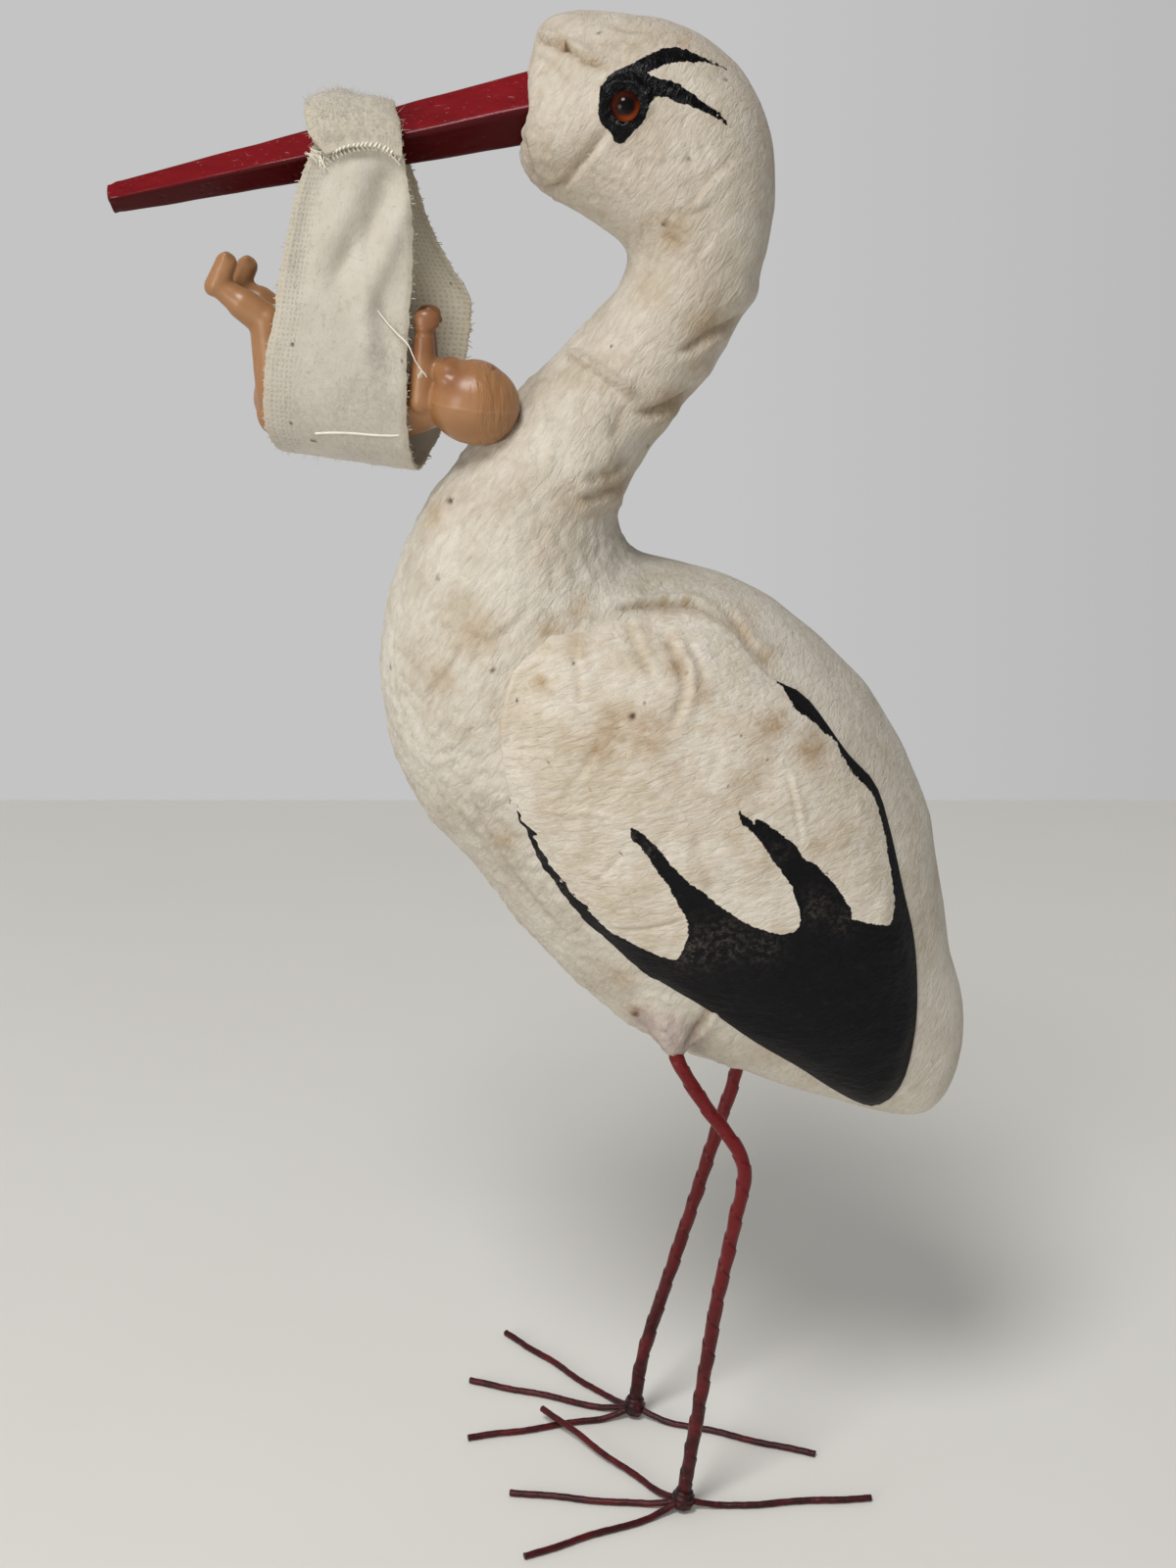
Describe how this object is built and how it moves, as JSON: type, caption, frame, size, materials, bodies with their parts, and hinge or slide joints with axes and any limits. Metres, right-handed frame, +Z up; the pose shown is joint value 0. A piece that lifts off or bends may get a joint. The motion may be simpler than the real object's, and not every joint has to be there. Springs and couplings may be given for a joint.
{
  "type": "stork figurine",
  "caption": "Standing stork figure of spun cotton on wire legs, with a long square beak that carries a baby doll in a flannel sling.",
  "frame": {"origin": "on the floor under the middle of the bounding box", "axes": "+Z up from the floor to the crown; the beak points to -X, and the bird's left side faces -Y"},
  "size_m": [0.1206, 0.0642, 0.221],
  "materials": {
    "spun_cotton": "matte",
    "beak_lacquer": "gloss",
    "leg_wrap": "matte",
    "eye_glass": "gloss",
    "doll_plastic": "satin",
    "flannel": "matte"
  },
  "bodies": {
    "root": {"body": "spun_cotton", "left_wing": "spun_cotton", "right_wing": "spun_cotton", "beak": "beak_lacquer", "left_eye": "eye_glass", "right_eye": "eye_glass", "left_leg": "leg_wrap", "right_leg": "leg_wrap", "left_toe_back": "leg_wrap", "left_toe_middle": "leg_wrap", "left_toe_outer": "leg_wrap", "left_toe_inner": "leg_wrap", "right_toe_back": "leg_wrap", "right_toe_middle": "leg_wrap", "right_toe_outer": "leg_wrap", "right_toe_inner": "leg_wrap", "sling": "flannel", "doll": "doll_plastic"}
  },
  "joints": []
}
